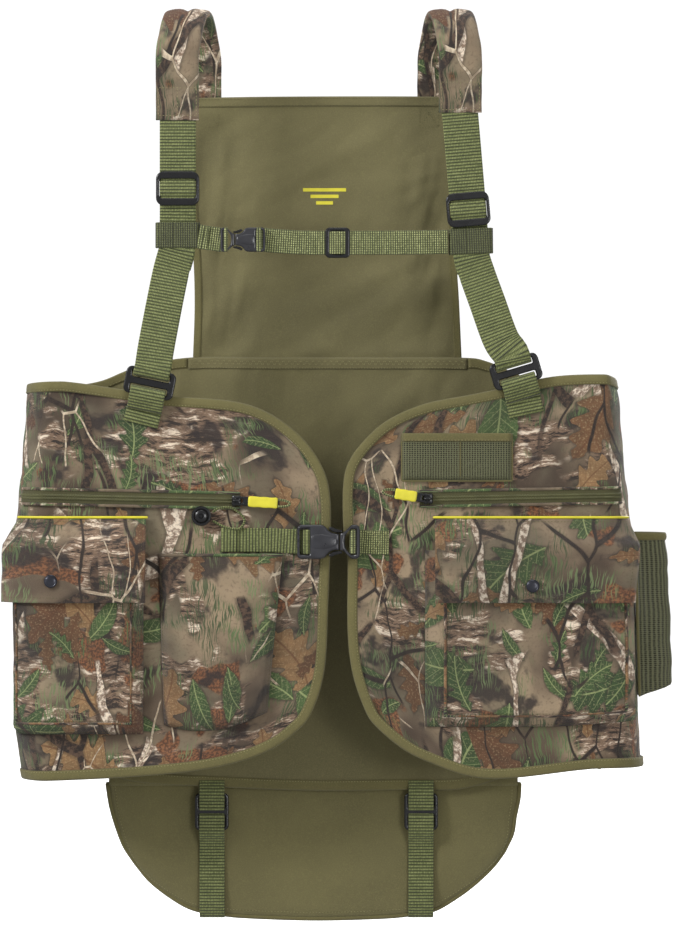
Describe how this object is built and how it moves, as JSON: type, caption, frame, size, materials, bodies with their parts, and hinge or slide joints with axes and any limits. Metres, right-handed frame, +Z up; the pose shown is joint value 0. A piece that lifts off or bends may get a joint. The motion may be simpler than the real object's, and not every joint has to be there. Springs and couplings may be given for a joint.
{
  "type": "field vest",
  "caption": "Sleeveless field vest with padded shoulder straps, zipped and flapped front pockets, mesh pockets, chest and waist buckles, a rear game bag and a drop-down padded seat.",
  "frame": {"origin": "On the centre line, level with the undersides of the two shoulder pads where they rest on the shoulders; halfway between the front and back planes.", "axes": "+Z up as worn, +X to the viewer's right seen from the front (the wearer's left), +Y to the back; the front faces -Y."},
  "size_m": [0.7114, 0.1488, 0.9705],
  "materials": {
    "olive_fabric": "tightly woven olive cloth, matt",
    "camo_fabric": null,
    "webbing": "ribbed olive webbing with light and dark threads",
    "black_plastic": "moulded black plastic, satin",
    "yellow_trim": "bright yellow moulded pull and piping",
    "zip_tape": "dark olive zip tape with a nylon coil",
    "mesh_fabric": "knitted mesh with small holes",
    "foam": "closed-cell foam, hidden",
    "snap_metal": "dark oxidised snap cap",
    "elastic_cord": "braided olive elastic"
  },
  "bodies": {
    "harness": {"back_yoke": "olive_fabric", "back_panel": "olive_fabric", "game_bag": "camo_fabric", "right_shoulder_pad": "camo_fabric", "left_shoulder_pad": "camo_fabric", "right_shoulder_webbing": "webbing", "left_shoulder_webbing": "webbing", "right_sternum_keeper": "webbing", "left_sternum_keeper": "webbing"},
    "right_tri_glide_body": {"right_tri_glide": "black_plastic"},
    "left_tri_glide_body": {"left_tri_glide": "black_plastic"},
    "sternum_right_half": {"sternum_webbing_short": "webbing", "sternum_buckle_plug": "black_plastic"},
    "sternum_left_half": {"sternum_webbing_long": "webbing", "sternum_buckle_socket": "black_plastic"},
    "sternum_arm_upper_body": {"sternum_arm_upper": "black_plastic"},
    "sternum_arm_lower_body": {"sternum_arm_lower": "black_plastic"},
    "sternum_adjuster_body": {"sternum_adjuster": "black_plastic"},
    "right_front": {"right_front_panel": "camo_fabric", "right_front_binding": "olive_fabric", "right_zip_tape": "zip_tape", "right_cargo_pocket": "camo_fabric", "right_call_pocket": "camo_fabric", "right_cord_lock": "black_plastic", "right_lock_cord": "elastic_cord", "right_anchor_tab": "webbing", "right_loop_buckle": "black_plastic", "right_lower_webbing": "webbing", "waist_webbing_right": "webbing", "waist_buckle_socket": "black_plastic"},
    "left_front": {"left_front_panel": "camo_fabric", "left_front_binding": "olive_fabric", "left_zip_tape": "zip_tape", "left_cargo_pocket": "camo_fabric", "left_mesh_pocket": "mesh_fabric", "bottle_pocket": "mesh_fabric", "left_anchor_tab": "webbing", "left_loop_buckle": "black_plastic", "left_lower_webbing": "webbing", "waist_webbing_left": "webbing", "waist_buckle_plug": "black_plastic"},
    "waist_arm_upper_body": {"waist_arm_upper": "black_plastic"},
    "waist_arm_lower_body": {"waist_arm_lower": "black_plastic"},
    "right_slider": {"right_zip_slider": "black_plastic"},
    "left_slider": {"left_zip_slider": "black_plastic"},
    "right_pull": {"right_zip_pull": "yellow_trim"},
    "left_pull": {"left_zip_pull": "yellow_trim"},
    "right_flap": {"right_pocket_flap": "camo_fabric", "right_flap_snap": "snap_metal"},
    "left_flap": {"left_pocket_flap": "camo_fabric", "left_flap_snap": "snap_metal"},
    "seat": {"seat_foam": "foam", "seat_front_cover": "olive_fabric", "seat_back_cover": "camo_fabric", "right_seat_strap": "webbing", "left_seat_strap": "webbing", "right_seat_lock": "black_plastic", "left_seat_lock": "black_plastic", "right_seat_tab": "webbing", "left_seat_tab": "webbing"}
  },
  "joints": [
    {"name": "right_tri_glide_slide", "type": "slide", "parent": "harness", "child": "right_tri_glide_body", "axis": [0, 0, 1], "range_m": [-0.012, 0.04]},
    {"name": "left_tri_glide_slide", "type": "slide", "parent": "harness", "child": "left_tri_glide_body", "axis": [-0.0847, 0, 0.9964], "range_m": [0, 0.05]},
    {"name": "sternum_right_swing", "type": "hinge", "parent": "harness", "child": "sternum_right_half", "pos_m": [-0.1342, -0.047, -0.236], "axis": [0, 0, -1], "range_deg": [0, 85]},
    {"name": "sternum_left_swing", "type": "hinge", "parent": "harness", "child": "sternum_left_half", "pos_m": [0.1246, -0.047, -0.238], "axis": [0, 0, 1], "range_deg": [0, 85]},
    {"name": "sternum_arm_upper_squeeze", "type": "hinge", "parent": "sternum_right_half", "child": "sternum_arm_upper_body", "pos_m": [-0.09987, -0.0512, -0.22642], "axis": [0, 1, 0], "range_deg": [0, 5], "stiffness_Nm_per_rad": 0.3},
    {"name": "sternum_arm_lower_squeeze", "type": "hinge", "parent": "sternum_right_half", "child": "sternum_arm_lower_body", "pos_m": [-0.09987, -0.0512, -0.24558], "axis": [0, -1, 0], "range_deg": [0, 5], "stiffness_Nm_per_rad": 0.3},
    {"name": "waist_arm_upper_squeeze", "type": "hinge", "parent": "left_front", "child": "waist_arm_upper_body", "pos_m": [0.0151, -0.058, -0.5395], "axis": [0, -1, 0], "range_deg": [0, 5], "stiffness_Nm_per_rad": 0.3},
    {"name": "waist_arm_lower_squeeze", "type": "hinge", "parent": "left_front", "child": "waist_arm_lower_body", "pos_m": [0.0151, -0.058, -0.5665], "axis": [0, 1, 0], "range_deg": [0, 5], "stiffness_Nm_per_rad": 0.3},
    {"name": "sternum_adjuster_slide", "type": "slide", "parent": "sternum_left_half", "child": "sternum_adjuster_body", "axis": [1, 0, 0], "range_m": [-0.025, 0.08]},
    {"name": "right_front_opening", "type": "hinge", "parent": "harness", "child": "right_front", "pos_m": [-0.29, 0.049, -0.59], "axis": [0, 0, -1], "range_deg": [0, 30], "deforming": ["right_lower_webbing"]},
    {"name": "left_front_opening", "type": "hinge", "parent": "harness", "child": "left_front", "pos_m": [0.29, 0.049, -0.59], "axis": [0, 0, 1], "range_deg": [0, 30], "deforming": ["left_lower_webbing"]},
    {"name": "right_zip_run", "type": "slide", "parent": "right_front", "child": "right_slider", "axis": [-0.9998, 0, 0.021], "range_m": [0, 0.15]},
    {"name": "left_zip_run", "type": "slide", "parent": "left_front", "child": "left_slider", "axis": [0.9998, 0, 0.018], "range_m": [0, 0.14]},
    {"name": "right_pull_flip", "type": "hinge", "parent": "right_slider", "child": "right_pull", "pos_m": [-0.096, -0.0566, -0.5099], "axis": [0, 0, -1], "range_deg": [0, 165]},
    {"name": "left_pull_flip", "type": "hinge", "parent": "left_slider", "child": "left_pull", "pos_m": [0.105, -0.0566, -0.5078], "axis": [0, 0, 1], "range_deg": [0, 165]},
    {"name": "right_flap_lift", "type": "hinge", "parent": "right_front", "child": "right_flap", "pos_m": [-0.262, -0.0498, -0.526], "axis": [-1, 0, 0], "range_deg": [0, 85]},
    {"name": "left_flap_lift", "type": "hinge", "parent": "left_front", "child": "left_flap", "pos_m": [0.218, -0.0498, -0.526], "axis": [-1, 0, 0], "range_deg": [0, 85]},
    {"name": "seat_fold", "type": "hinge", "parent": "harness", "child": "seat", "pos_m": [-0.016, 0.061, -0.812], "axis": [1, 0, 0], "range_deg": [0, 150]}
  ]
}
